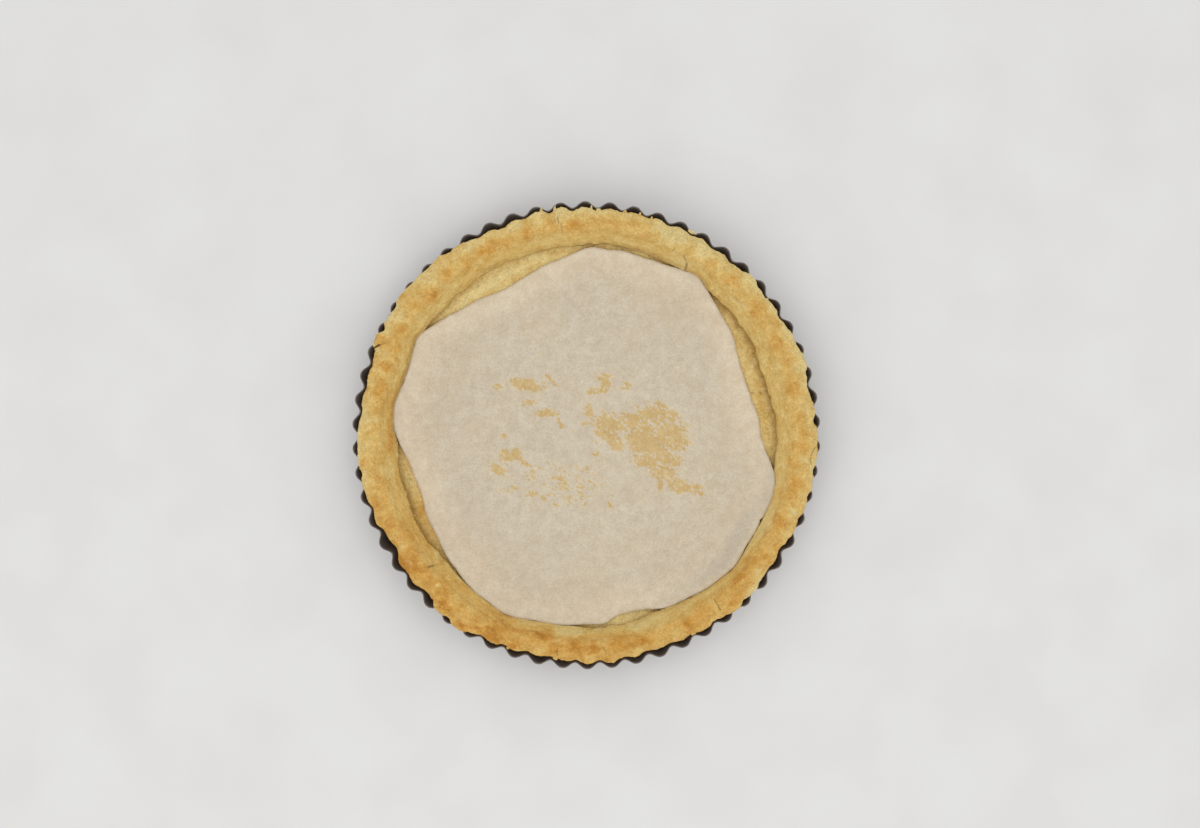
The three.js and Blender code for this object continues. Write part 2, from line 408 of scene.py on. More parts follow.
crestWaves = [(2, 0.25, 0.6), (5, 0.3, 2.1), (9, 0.25, 4.4), (17, 0.18, 1.2)]
footWaves = [(3, 0.5, 1), (7, 0.45, 3.3), (13, 0.35, 0.4), (24, 0.2, 2.6)]
footSpots = [
    (24, 16, -1.5), (29, 4, 0.9), (76, 13, 1.9), (122, 14, 0.6), (188, 5, 1.5), (196.5, 5, -0.9),
    (207, 10, 1.5), (213.5, 4, 1.4), (275, 12, 2.2),
]
floorWaves = [(165, 0.2, 20, 1), (120, 0.15, 100, 2.4), (75, 0.12, 315, 0.3)]
bulgeSpots = [(20, 22, 0.35), (132, 14, 0.35), (212, 20, 0.35), (88, 20, -0.25), (285, 12, 0.2)]

# Where one strip of dough ends over the next: angle, the side of its thick end, spread in degrees and
# how far it stands inwards.
stripEnds = [(59.3, 1, 6, 1.0), (219, -1, 4, 0.8), (308.4, -1, 4, 0.9)]

# Splits in the pastry: from and to (angle, distance from the centre), half width, depth, how dark the
# painted shade in it is.
splits = [
    ((59.2, 117), (59.6, 119.4), 0.7, 0.6, 0.55), ((59.6, 119.4), (61.6, 121.9), 0.4, 0.4, 0.35),
    ((97.6, 131.2), (97.4, 127.4), 0.3, 0.6, 0.65), ((96.9, 127), (96.6, 121.8), 0.3, 0.25, 0.35),
    ((98.4, 130.6), (98.2, 128), 0.25, 0.25, 0.35), ((219.8, 122.3), (220.5, 120.2), 0.65, 0.6, 0.55),
    ((220.5, 120.2), (221.6, 117.4), 0.6, 0.5, 0.2), ((307.5, 131.2), (308, 124.2), 0.32, 0.5, 0.6),
    ((308.6, 117.2), (308.2, 115), 0.4, 0.5, 0.5), ((275.2, 130.2), (274.9, 127.9), 0.3, 0.3, 0.5),
    ((274.7, 127.2), (274.5, 125.6), 0.3, 0.3, 0.4), ((157.7, 137), (156.3, 134.4), 0.45, 1.2, 1),
    ((156.3, 134.4), (155.2, 131.4), 0.25, 0.5, 0.4), ((357, 136.9), (355.6, 134.9), 0.25, 0.5, 0.5),
    ((355.6, 134.9), (354, 134.2), 0.25, 0.5, 0.5), ((354, 134.2), (352.6, 135.4), 0.25, 0.5, 0.5),
    ((64.7, 123.6), (64.9, 121.2), 0.35, 0.3, 0.35), ((262.6, 132.4), (262.1, 129.2), 0.3, 0.3, 0.45),
]
pricks = [(14.1, 104.6), (13.4, 109.2), (194.2, 110.6), (126.0, 112.4)]  # small holes in the floor


def wallEdge(angle):
    return pastryShape["edgeRadius"] + spots(wallSpots, angle)


def edgeLine(angle):
    follow = pastryShape["edgeFollow"] + spots(filledLobes, angle)
    free = wallEdge(angle) + follow * (pastryShape["edgeFollowMiddle"] - fluteWave(angle))
    valley = ((angle - tinShape["firstLobe"]) % 360 / (360 / tinShape["flutes"])).astype(int)
    reach = np.array([laps.get(number, 0.0) for number in valley])
    share = np.where(reach > 0, 1 - (1 - fluteWave(angle)) ** pastryShape["lapFill"], 0)
    return mixed(free, reach, share)


def evenFoot(angle):
    return pastryShape["footRadius"] + waves(footWaves, angle) + spots(footSpots, angle)


def freeFoot(angle):
    s = pastryShape
    ring = around(angle, 115.0, 10.0)
    uneven = s["footLumps"] * rough(ring, 8.0, 2, 3) + s["footCrumbling"] * rough(ring, 2.6, 2, 13)
    return evenFoot(angle) + uneven


def paperContact(angle):
    # 1 where the paper's edge leans on the wall, 0 where it ends on the floor
    return smooth(paperReach(angle) - evenFoot(angle), -2.5, -0.3)


def footRadius(angle):
    pushed = paperReach(angle) + paperShape["wallGap"]
    foot = larger(freeFoot(angle), pushed, 0.3)
    for at, side, spread, inwards in stripEnds:
        along = side * turnBetween(at, angle)
        ended = inwards * hump(along, 0, spread) * smooth(along, -0.3, 0.3)
        foot = foot - ended * (1 - paperContact(angle))
    return foot


def floorHeight(angle, radius, foot):
    s = pastryShape
    dome = s["floorDome"] * np.cos(np.pi / 2 * np.minimum(radius / s["footRadius"], 1))
    uneven = 0
    for length, height, direction, phase in floorWaves:
        along = radius * np.cos(np.radians(angle - direction))
        uneven = uneven + height * np.sin(2 * np.pi * along / length + phase)
    fillet = s["filletRise"] * smooth(radius, foot - s["filletWidth"], foot)
    return s["floorHeight"] + dome + uneven + fillet


def splitDepth(points):
    # how deep the splits cut at each point, with a low ridge on both sides of each
    depth = np.zeros(points.shape[:-1])
    above = points[..., 2] > pastryShape["floorHeight"] + 1
    narrowest, ridgeAt, ridge = 0.45, 2.4, 0.2
    for start, end, width, deep, _ in splits:
        width = max(width, narrowest)
        a, b = (around(*place, 0)[:2] for place in (start, end))
        way = b - a
        share = np.clip(((points[..., :2] - a) @ way) / (way @ way), 0, 1)
        away = np.linalg.norm(points[..., :2] - (a + share[..., None] * way), axis=-1)
        taper = (smooth(share, 0, 0.12) * (1 - smooth(share, 0.85, 1)) * 0.7 + 0.3) * above
        depth = np.maximum(depth, deep * taper * hump(away, 0, width))
        depth = depth - ridge * deep * taper * hump(away, ridgeAt * width, width)
    return depth


def prickShare(points):
    size, wallStart = 0.75, 13.0
    holes = [np.linalg.norm(points[..., :2] - around(*place, 0)[:2], axis=-1) for place in pricks]
    return sum(hump(away, 0, size) for away in holes) * (points[..., 2] < wallStart)


# Browner and paler places: angle, distance from the centre, half length round the case, half width
# and amount.
brownSpots = [
    (1, 129, 4, 4, 0.25), (5.5, 130, 2, 3, 0.3), (12.5, 126.5, 6, 4, 0.35), (14, 108.5, 18, 2.6, 0.2),
    (19, 125, 5, 4, 0.2), (26, 126, 5, 5, 0.4), (36.5, 127, 5.5, 5, 0.4), (47.5, 126.5, 4, 4, 0.3),
    (54, 126, 3, 3, 0.3), (76, 128.5, 6, 2.5, 0.25), (84, 128.5, 9, 3, 0.3), (93.5, 125.5, 6, 4.5, 0.5),
    (100, 126, 5, 4, 0.3), (106.5, 125, 3, 5, 0.3), (109, 110, 4, 2, 0.3), (112.5, 125, 4, 4, 0.35),
    (118, 108.5, 3, 1.6, 0.45), (118, 125.5, 7, 4.5, 0.6), (125, 107.5, 2.4, 1.6, 0.6),
    (125, 126, 3, 4, 0.35), (131, 127, 4, 4, 0.35), (132, 108, 3, 1.4, 0.35), (138, 124.5, 5, 5, 0.5),
    (143, 127, 3, 5, 0.35), (143, 137.5, 3.5, 2, 0.5), (150, 127.5, 3.5, 3.5, 0.4),
    (155, 125.5, 5, 4, 0.35), (155.4, 135, 3.2, 4, 0.6), (161.5, 127, 4, 4, 0.35),
    (165, 135, 14, 2, 0.25), (167.3, 126.5, 5.5, 4, 0.5), (173, 118.5, 16, 2.2, 0.4),
    (180, 133, 10, 2.5, 0.15), (182, 118, 10, 2.5, 0.6), (187, 134, 3, 2, 0.4), (193, 117, 4, 2.5, 0.3),
    (198, 132, 5, 3, 0.35), (205, 131.5, 4, 4, 0.4), (206, 118, 16, 4, 0.3), (207, 110, 15, 6, 0.45),
    (212, 133, 10, 3, 0.25), (214, 117.5, 5, 2, 0.4), (217, 131, 9, 5, 0.45), (221, 118, 9, 2.5, 0.4),
    (229.5, 118.5, 11, 2.6, 0.5), (230, 132.5, 8, 3, 0.6), (237, 136.5, 4, 2, 0.5),
    (240, 119, 14, 3, 0.35), (244, 121.5, 14, 2, 0.3), (244, 133.5, 17, 3, 0.5), (245, 130.5, 7, 4, 0.4),
    (250, 122.5, 12, 2.2, 0.4), (251, 132, 4, 3, 0.4), (258.5, 121.5, 7, 3.5, 0.6),
    (262, 131, 3.5, 3, 0.4), (267.5, 126, 5.5, 5, 0.35), (270, 121.5, 12, 1.8, 0.45),
    (271, 133, 12, 2.5, 0.2), (272.5, 127, 4, 3, 0.35), (279, 124, 5.5, 4.5, 0.4),
    (281, 129.5, 3, 3, 0.35), (286, 127, 4, 4, 0.4), (299, 129, 5, 5, 0.4), (303, 124, 4, 5, 0.2),
    (312.5, 132.5, 4.5, 3, 0.5), (314, 127.5, 1.6, 1.4, 0.05), (317, 125, 6, 5, 0.4),
    (322.5, 123.5, 5, 4, 0.35), (326, 130, 3.5, 4.5, 0.4), (329.5, 132.5, 4, 3, 0.4),
    (336, 127, 6, 4, 0.35), (343, 121, 4, 2, 0.25), (347, 128, 6, 4, 0.4), (352.5, 124.5, 4, 4, 0.35),
    (357, 127, 4, 5, 0.3),
]
paleSpots = [
    (7, 131, 5, 3, -0.2), (17, 131, 3, 4, -0.2), (42, 121, 8, 3, -0.2), (58, 131, 7, 4, -0.3),
    (62, 118.5, 10, 3, -0.2), (66, 130, 9, 5, -0.35), (97.5, 131, 3, 4, -0.35), (110, 131, 8, 2.5, -0.15),
    (122, 110, 22, 2.6, -0.6), (122, 132, 4, 4, -0.25), (135, 131, 6, 4, -0.15), (158, 129, 3, 6, -0.1),
    (176, 128, 3, 6, -0.2), (183, 130, 4, 4, -0.2), (190, 124, 4, 5, -0.1), (201.5, 125, 4, 4, -0.1),
    (207, 127, 2, 1.7, -0.3), (211.3, 126, 1.8, 3.5, -0.25), (219.2, 117.5, 2.2, 3, -0.2),
    (225, 126, 1.4, 1.4, -0.7), (258, 130, 4, 3, -0.05), (265, 118, 9, 3.2, -0.5),
    (271, 132, 3, 2.5, -0.35), (274.5, 128, 2.5, 5, -0.2), (283, 131, 5, 2.5, -0.25),
    (285, 111, 16, 5, -0.4), (286, 117.5, 10, 2.5, -0.5), (290, 130, 3, 3, -0.1), (295, 130, 4, 4, -0.2),
    (306.9, 128, 1.2, 6, -0.25), (316.5, 127.5, 1.6, 1.6, -0.35), (321.5, 130, 5, 3, -0.3),
    (332, 128, 4, 3, -0.15), (334, 119.5, 13, 3.2, -0.3), (340, 131, 3, 4, -0.3),
    (353.5, 130, 3, 4, -0.25),
]
# How much browner the wall is, and how much painted shade darkens the crease, all round: angle, spread,
# amount.
bakedSides = [(216, 20, 0.34), (262, 26, 0.32), (308, 24, 0.2), (62, 12, -0.14), (345, 20, 0.08)]
creaseShadeSides = [
    (30, 30, 0.2), (72, 14, -0.45), (88, 22, -0.3), (122, 16, -0.38), (208, 16, 0.35), (223, 6, -0.3),
    (250, 13, -0.55), (266, 7, -0.4), (282, 12, -0.4), (302, 9, 0.35),
]
# How dark the painted shade is in the band over the paper's edge: angle, spread, amount.
underShadeSides = [
    (52, 8, 0.25), (70, 20, 0.55), (122, 15, 0.4), (150, 8, 0.2), (165, 18, 0.8), (222, 4, 0.2),
    (268, 12, 0.15), (300, 12, 0.5),
]
# Floury places near the crease, pale partly as flour and partly as painted light against the shade there:
# angle, distance from the centre, half length round the case, half width, amount.
flouryLitSpots = [
    (76, 115.2, 16, 1.4, 0.5), (106, 111.5, 9, 3.4, 0.5), (122, 109.2, 21, 2.8, 0.8),
    (131, 111.5, 8, 2, 0.5), (276, 115.4, 17, 2.2, 0.5),
]
# Where the outer edge is paler: angle, spread, amount.
paleEdges = [
    (16.5, 2.5, 0.5), (30, 15, 0.6), (95, 9, 0.6), (148, 3, 0.5), (182, 5, 0.4), (318, 5, 0.4),
    (351, 4, 0.4),
]

baking = {
    "stray": 1.9,  # how far the outlines of the blotches are moved to make them uneven
    "straySize": 5.0,
    "patchSize": 4.2,
    "floorEnd": 114.0,  # blotches that lie further in are on the floor, the others on the wall
    "wallStart": (11.5, 16.0),  # heights between which the floor becomes the wall
    "least": 0.18,
    "crest": 0.2,
    "crestInset": 9.4,
    "crestSpread": 5.2,
    "paleFloor": 0.08,
    "bumps": 0.2,
    # painted shade in the crease at the wall's foot
    "crease": 0.7,
    "creaseInner": 3.2,  # how far the crease's painted shade reaches over the floor, and up the wall
    "creaseOuter": 1.5,
    "lineWidth": 0.7,
    "lineUnderPaper": 0.7,  # how much fainter the thin painted shadow line in the crease is where paper covers it
    # painted shade in the band over the paper's edge
    "under": 0.1,
    "underAt": 1.6,
    "underSpread": 2.1,
}


def blotch(at, reach, long, wide, turn, radius):
    # 1 in the middle of a blotch, and 0 around it
    away = np.hypot(np.radians(turnBetween(at, turn)) * reach / long, (radius - reach) / wide)
    return np.exp(-(away**3))


def creaseShadeMark(points, angle, turn, fromFoot, stray, patchy):
    # painted shade: how dark the crease, the thin line in it and the band over the paper's edge are made
    b = baking
    height = points[..., 2]
    away = fromFoot + 0.3 + 0.3 * stray
    reach = np.where(away < 0, b["creaseInner"], b["creaseOuter"])
    crease = np.exp(-(np.abs(away / reach) ** 1.5)) * (1 - smooth(height, 12, 16.5))
    crease = crease * (b["crease"] + spots(creaseShadeSides, turn))
    shadeLine = hump(fromFoot, -0.1, b["lineWidth"]) * (1 - smooth(height, 11, 15))
    shadeLine = shadeLine * (1 - b["lineUnderPaper"] * paperContact(angle)[:, None]) * (0.5 + 0.3 * patchy)
    under = hump(fromFoot, b["underAt"], b["underSpread"]) * (1 - smooth(height, 17, 23))
    under = under * (b["under"] + spots(underShadeSides, turn))
    return np.maximum(np.maximum(crease, shadeLine), under)


def bakedMarks(points, angle, wall, foot, relief):
    # the blotches' outlines are made uneven by moving the place at which each is looked up
    b = baking
    stray = [b["stray"] * rough(points, b["straySize"], 2, seed) for seed in (14, 15)]
    trueRadius = np.hypot(points[..., 0], points[..., 1])
    turn = angle[:, None] + np.degrees(stray[0] / caseRadius)
    radius = trueRadius + stray[1]
    foot, wall = foot[:, None], wall[:, None]
    onWall = smooth(points[..., 2], *b["wallStart"])
    patchy = 0.75 + 0.5 * rough(points, b["patchSize"], 3, 16)

    baked = b["least"] + b["crest"] * hump(radius, wall - b["crestInset"], b["crestSpread"])
    baked = baked + spots(bakedSides, turn) * smooth(radius, wall - 16, wall - 8)
    for *place, amount in brownSpots + paleSpots:
        share = blotch(*place, turn, radius) * (patchy if amount > 0 else 1)
        baked = baked + amount * share * (onWall if place[1] > b["floorEnd"] else 1 - onWall)
    baked = mixed(baked - b["paleFloor"], baked, onWall) + b["bumps"] * relief * (0.4 + 0.6 * onWall)
    edge = trueRadius - wall
    baked = baked - spots(paleEdges, turn) * smooth(edge, -1.9, -0.4)

    # floury places near the crease, partly flour and partly painted light
    floury = sum(amount * blotch(*place, turn, trueRadius) for *place, amount in flouryLitSpots)
    return {
        "baked": baked,
        "crease": creaseShadeMark(points, angle, turn, trueRadius - foot, stray[1], patchy),
        "floury": floury * patchy * (1 - onWall),
        "edge": smooth(edge, -6, -1),
        "prick": prickShare(points),
    }


reliefShape = {
    "swell": 0.4,  # heights and sizes of the relief's parts
    "swellSize": 13.0,
    "puff": 0.4,
    "puffSize": 5.2,
    "grain": 0.22,
    "grainSize": 2.3,
    "leaf": 0.1,
    "leafOnSlope": 0.14,  # how much more of it the wall's slope has
    "leafLength": 9.0,
    "leafWidth": 1.5,
    "floorShare": 0.25,  # how much of all this the floor has
    "floorGrain": 0.4,
    "floorGrainSize": 3.4,
    "prick": 0.5,
}


def pastryRelief(grid, wall):
    s = reliefShape
    height = grid[..., 2]
    radius = np.hypot(grid[..., 0], grid[..., 1])
    onSlope = smooth(height, 13, 17) * (1 - smooth(height, 28, 32)) * (radius < wall[:, None] - 9)
    onFloor = 1 - smooth(height, 11, 14)
    puffs = smooth(rough(grid, s["puffSize"], 2, 5), -0.1, 0.7) - 0.4
    leaves = rough(streaky(grid, s["leafLength"], s["leafWidth"]), 1.0, 2, 7)
    relief = s["swell"] * rough(grid, s["swellSize"], 2, 4) + s["puff"] * puffs
    relief = relief + s["grain"] * rough(grid, s["grainSize"], 2, 6)
    relief = relief + leaves * (s["leaf"] + s["leafOnSlope"] * onSlope)
    floorRelief = s["floorShare"] * relief + s["floorGrain"] * rough(grid, s["floorGrainSize"], 3, 8)
    return mixed(relief, floorRelief, onFloor)


def makePastry():
    s = pastryShape
    turns = tinShape["flutes"] * s["stepsPerFlute"]
    angle = tinShape["firstLobe"] + 360 * np.arange(turns) / turns

    ring = around(angle, 135.0, 31.0)
    wall = wallEdge(angle)
    even = edgeLine(angle)
    ragged = s["edgeLumps"] * rough(ring, 7.0, 2, 1) + s["edgeCrumbling"] * rough(ring, 2.2, 3, 2)
    edge = even + ragged
    foot = footRadius(angle)
    contact = paperContact(angle)
    bulge = (s["bulge"] + spots(bulgeSpots, angle)) * (1 - contact)
    crest = s["crestHeight"] + waves(crestWaves, angle)
    crestOuter = wall - s["crestInset"]
    crestInner = (crestOuter - s["crestWidth"] + foot + s["crestOverFoot"]) / 2
    floorHere = floorHeight(angle, foot, foot)

    def outside(height):
        shrunk = even - s["edgeSlope"] * (tinShape["height"] - height)
        return np.minimum(shrunk, tinInner(angle, height) - s["clearance"]), height

    def innerFace(out, up):
        return mixed(foot, crestInner, out), mixed(s["floorHeight"], crest, up)

    def onFloor(inwards):
        return foot - inwards, floorHeight(angle, foot - inwards, foot)

    below, rim = s["underside"], tinShape["height"]
    # each control point of the section, and how many steps the mesh makes to the next one
    controls = [
        ((0, below), 1),
        ((70, below), 1),
        ((outside(below)[0] - s["footRound"] * 2, below), 1),
        ((outside(below)[0] - s["footRound"], below), 2),
        (outside(below + s["footRound"]), 1),
        (outside(14.0), 1),
        (outside(23.0), 2),
        (outside(28.5), 2),
        ((outside(rim)[0], rim + 0.4), 2),
        ((edge - 0.3, rim + 0.5), 3),
        ((edge + 0.1, rim + 0.8), 3),
        ((edge - 0.3, rim + 1.8), 3),
        ((edge - 1.6, rim + 2.4), 4),
        ((edge - 3.4, crest - 0.5), 4),
        ((crestOuter - 0.5, crest + 0.1), 5),
        ((mixed(crestOuter, crestInner, 0.5), crest + 0.2), 5),
        ((crestInner + 2, crest - 0.3), 4),
        ((crestInner, crest - 2.2), 4),
        (innerFace(0.72, 0.74), 4),
        (innerFace(0.42, 0.58), 4),
        (innerFace(0.16, 0.42), 4),
        ((foot - bulge * 0.7, s["floorHeight"] + s["bulgeHeight"] + 1.8), 3),
        ((foot - bulge, s["floorHeight"] + s["bulgeHeight"] - 0.8), 3),
        ((foot - 0.1, floorHere + 1.5), 3),
        ((foot - 0.7, floorHere + 0.4), 3),
        ((foot - 1.9, floorHere), 3),
        (onFloor(3.6), 4),
        (onFloor(6.4), 4),
        (onFloor(10.0), 4),
        (onFloor(14.5), 3),
        (onFloor(19.0), 2),
        (onFloor(26.0), 1),
        (onFloor(50.0), 1),
        (onFloor(foot), 0),
    ]
    places = [np.stack(np.broadcast_arrays(r, z, angle)[:2], axis=-1) for (r, z), _ in controls]
    weights = splineRows([amount for _, amount in controls[:-1]])
    section = np.einsum("pk,kad->apd", weights, np.stack(places))
    grid = around(angle[:, None], section[..., 0], section[..., 1])

    along = np.roll(grid, -1, axis=0) - np.roll(grid, 1, axis=0)
    across = np.gradient(grid, axis=1)
    out = np.cross(along, across)
    out = out / np.maximum(np.linalg.norm(out, axis=-1, keepdims=True), 1e-9)

    # the relief is left off where the tin and the paper hide the pastry
    height = grid[..., 2]
    radius = np.hypot(grid[..., 0], grid[..., 1])
    hiddenControls = 8
    firstSeen = sum(amount for _, amount in controls[:hiddenControls])
    seen = smooth(np.arange(section.shape[1]), firstSeen, firstSeen + 5)[None, :]
    underPaper = smooth(foot[:, None] - radius, 14, 22) * (height < 14)
    leanedOn = 0.7 * contact[:, None] * (radius < foot[:, None] + 2) * (height < 18)
    seen = seen * (1 - underPaper) * (1 - leanedOn)
    relief = pastryRelief(grid, wall)
    cut = splitDepth(grid) + reliefShape["prick"] * prickShare(grid)
    grid = grid + out * ((relief - cut) * seen)[..., None]

    marks = bakedMarks(grid, angle, wall, foot, relief)
    # painted light: the steep inner face of the wall is made lighter, and a little more olive, as if lit
    # as brightly as the crest
    steep = np.clip(1.3 - 1.3 * out[..., 2], 0, 1) * (radius < wall[:, None] - 9)
    marks["slope"] = smooth(height, 13, 18) * (1 - smooth(height, 25, 33)) * steep
    return turnedPiece("pastryCase", grid, marks), grid, out


def pastryFinish():
    f = Finish("bakedPastry")
    mid, small = f.lumps(8, 3, 0.55), f.lumps(3.2, 4, 0.65, seed=3.1)
    fine, grain = f.lumps(1.3, 2, 0.6, seed=7.7), f.lumps(0.8, 2, 0.7, seed=2.7)
    leaves = f.lumps(1, 3, 0.6, seed=1.7, at=f.alongRim(7, 1.1))
    flaky = f.lumps(1, 3, 0.6, seed=6.4, at=f.alongRim(9, 2.6))
    ledges = f.layers(flaky + small * 0.25, [-0.5, -0.1, 0.25, 0.6])
    torn = f.lumps(1, 3, 0.6, seed=3.9, at=f.alongRim(1.6, 6)) * f.mark("edge")

    baked = f.mark("baked") + mid * 0.18 + small * 0.12 + leaves * 0.07 + flaky * 0.06 + torn * 0.1
    colour = f.node("ValToRGB", {"stops": [
        (0.0, tone(225, 199, 133)),
        (0.28, tone(221, 183, 106)),
        (0.55, tone(215, 167, 86)),
        (0.8, tone(206, 151, 67)),
        (1.0, tone(192, 132, 50)),
    ]}, {"Fac": baked})
    floury = f.step(f.lumps(4.2, 3, 0.6, seed=5.2), 0.2, 1.2)
    # floury lumps all over, and the floury places near the crease, which are partly painted light
    colour = f.blend(floury * 0.25 + f.mark("floury"), colour, tone(246, 224, 158))
    # painted light on the wall's steep inner face, with an olive tint
    colour = f.blend(f.mark("slope") * 0.3, colour, tone(190, 168, 100))
    # painted shade darkens the crease at the wall's foot and the band over the paper's edge
    creaseShadeShare = f.step(f.mark("crease") + small * 0.12, -0.1, 1.2) * 0.9
    colour = f.blend(creaseShadeShare, colour, tone(153, 113, 42))

    # the lines of the splits stray a little from straight ones
    stray = f.node("TexNoise", None, {"Vector": f.place, "Scale": 1 / (2.5 * mm)}, out="Color")
    stray = f.vector("SUBTRACT", {0: stray, 1: (0.5, 0.5, 0.5)})
    stray = f.vector("SCALE", {0: stray, "Scale": 1.2 * mm})
    place = f.flat(f.vector("ADD", {0: f.place, 1: stray}))
    # painted shade in the splits and the fork pricks
    splitShade = f.mark("prick") * 0.6
    for start, end, width, _, dark in splits:
        away = f.lineTo(around(*start, 0)[:2], around(*end, 0)[:2], place)
        splitShade = splitShade.sum("MAXIMUM", splitShade, (1 - f.step(away, width * 0.4, width * 1.7)) * dark)
    colour = f.blend(splitShade, colour, tone(100, 70, 28))
    # random lighter and darker tones, and painted light on the wall's steep inner face
    lighter = grain * 0.1 + fine * 0.15 - small * 0.07 - mid * 0.07 + f.mark("slope") * 0.2
    colour = f.shade(colour, lighter)

    relief = f.bump(ledges, 0.14, 0.45)
    relief = f.bump(small, 0.3, 0.75, relief)
    relief = f.bump(leaves, 0.16, 0.6, relief)
    relief = f.bump(torn, 0.2, 0.6, relief)
    relief = f.bump(fine, 0.2, 0.9, relief)
    return f.surface({
        "Base Color": colour,
        "Roughness": 0.6 + small * 0.06,
        "Specular IOR Level": 0.22,
        "Normal": relief,
    })


# The baking paper

paperShape = {
    "thickness": 0.14,
    "lift": 0.42,
    "wallGap": -0.05,  # from its edge to the crease where it stands against the wall
    "cornerRounding": 1.6,
    "cutRoughness": 0.1,
    "bayDepth": 0.4,  # of small bays in its cut edge
    "waviness": 0.09,
    "fineWaviness": 0.035,
    "edgeWaviness": 0.5,  # where its edge stands up
    "climbBand": 7.0,
    "climbHeight": 3.6,
    "curlAt": 322.0,  # where a wide band of it stands up against the wall
    "curlSpread": 20.0,
    "curlBand": 15.0,
    "curlHeight": 6.5,
    "uprightAt": 345.0,  # where its edge stands the steepest, and painted shade on it is darkest
    "uprightSpread": 9.0,
    "nickAt": 334.0,  # a small tear in its edge
    "nickSpread": 0.6,
    "nickDepth": 1.0,
    "turns": 928,
    "rings": 52,
    "ringSpread": 0.85,  # below 1 the rings lie closer together towards the edge
}

# The corners of the cut paper: angle, distance from the centre.
paperCorners = [
    (0, 106.2), (6, 105.8), (12, 103.2), (24, 102.9), (30, 105.6), (33, 108.3), (45, 111.6), (55, 118.3),
    (60.5, 115.7), (66, 114), (78, 114.2), (89, 114.5), (104, 106.8), (120, 101.8), (129, 106.2),
    (141, 112.6), (150, 119.2), (160, 115.2), (172, 118.6), (179, 117), (186, 111.3), (197, 107.2),
    (207, 109.6), (214, 110.3), (222, 113), (233, 117), (246, 120.3), (262, 116.6), (275.5, 115.6),
    (279, 111.7), (286, 111.2), (295, 115.8), (303, 117), (309, 118.4), (318, 120.3), (334, 118.1),
    (341, 119.2), (347, 118.2),
]
cornerAngles, cornerRadii = np.array(paperCorners, float).T


def cutRadius(angle):
    turn = angle % 360
    after = np.searchsorted(cornerAngles, turn, side="right")
    start, end = (after - 1) % len(cornerAngles), after % len(cornerAngles)
    toStart = np.radians((turn - cornerAngles[start]) % 360)
    toEnd = np.radians((cornerAngles[end] - turn) % 360)
    across = cornerRadii[start] * cornerRadii[end] * np.sin(toStart + toEnd)
    return across / (cornerRadii[start] * np.sin(toStart) + cornerRadii[end] * np.sin(toEnd))


def paperReach(angle):
    turns = [share * paperShape["cornerRounding"] for share in (-1, -0.5, 0, 0.5, 1)]
    return np.mean([cutRadius(angle + turn) for turn in turns], axis=0)


def curlShare(angle):
    return hump(turnBetween(paperShape["curlAt"], angle), 0, paperShape["curlSpread"])


def paperClimb(angle, radius, foot):
    s = paperShape
    curl = curlShare(angle)
    band = mixed(s["climbBand"], s["curlBand"], curl)
    height = mixed(s["climbHeight"], s["curlHeight"], curl)
    along = np.clip((radius - (foot - band)) / band, 0, 1)
    return height * mixed(along**2, smooth(along, 0, 1), 0.35 + 0.5 * curl)


# Golden patches where the pastry stuck to the paper: centre x and y, half length, half width, turn
# and strength.
stuckPatches = [
    (12.4, 4.2, 8.6, 9.8, 0, 0.95), (25.6, 8.3, 8, 5.6, 0, 0.95), (18.3, -5.2, 5.6, 4.8, -30, 0.95),
    (33.5, -3, 9.6, 9.6, 0, 1.15), (49.5, -0.9, 14, 11.2, 0, 0.88), (44.9, 12.3, 15, 5.4, -14, 0.86),
    (33.5, 11, 7.6, 5, 0, 0.92), (54, -5, 9, 6, 0, 0.92), (44, -9, 9, 6, 0, 1),
    (46.4, 17.9, 4.8, 2.2, -22, 0.9), (36, -15.2, 8.4, 5.6, 0, 0.95), (50, -16, 8, 6, 0, 0.84),
    (47, -22.6, 10, 5.6, -10, 0.9), (57, -31.3, 7.4, 5, -5, 1), (44.9, -31.4, 1.8, 5, 0, 0.9),
    (65.2, -31.6, 8, 1.9, -10, 0.9), (67, -35.4, 6, 1.6, -6, 0.9), (-37.3, 30.4, 12.5, 4.2, -10, 0.88),
    (-21.1, 32.7, 5.2, 1.9, -50, 0.86), (-34.6, 19.7, 5.6, 2.2, 12, 0.86), (-24.3, 13.2, 7.2, 3, 0, 0.95),
    (-16.2, 7.2, 4.4, 1.5, -65, 0.86), (-54.3, 29.1, 4.4, 2.2, -20, 0.82),
    (11.1, 35.8, 5.4, 2.2, 0, 0.84), (12, 30.9, 3.2, 5.2, -10, 0.92), (4.4, 26.4, 5.6, 2.4, 10, 0.88),
    (24.5, 29.5, 3.8, 3.4, 30, 0.74), (1.2, 14.8, 3.6, 4.4, 0, 0.84), (-1, 6.7, 4, 1.8, 0, 0.8),
    (6, -12.4, 3, 2.2, 0, 0.85), (-47, -12, 7.4, 4.4, 20, 0.9), (-38.2, -16.1, 7, 2.4, -45, 0.86),
    (-54.3, -21.5, 7.6, 3, -30, 0.86), (-33.2, -24.2, 2.6, 5, 0, 0.8), (-33.2, -35.8, 4, 2.6, 0, 0.8),
    (-50.7, -1, 3, 2, 0, 0.78), (-14, -28.6, 4.6, 4, 0, 0.74), (-18.5, -21.5, 4.4, 1.8, 10, 0.74),
    (-7.7, -35, 15, 6, 0, 0.5), (-10, -30, 26, 16, 0, 0.42), (14.7, -43, 2.4, 1.8, 0, 0.74),
    (-18.5, -43, 2.8, 2, 0, 0.74), (-24, -29.5, 2, 2, 0, 0.74), (-48, -33, 8, 2, 10, 0.66),
    (-2, -22, 3.6, 2, 0, 0.66),
]


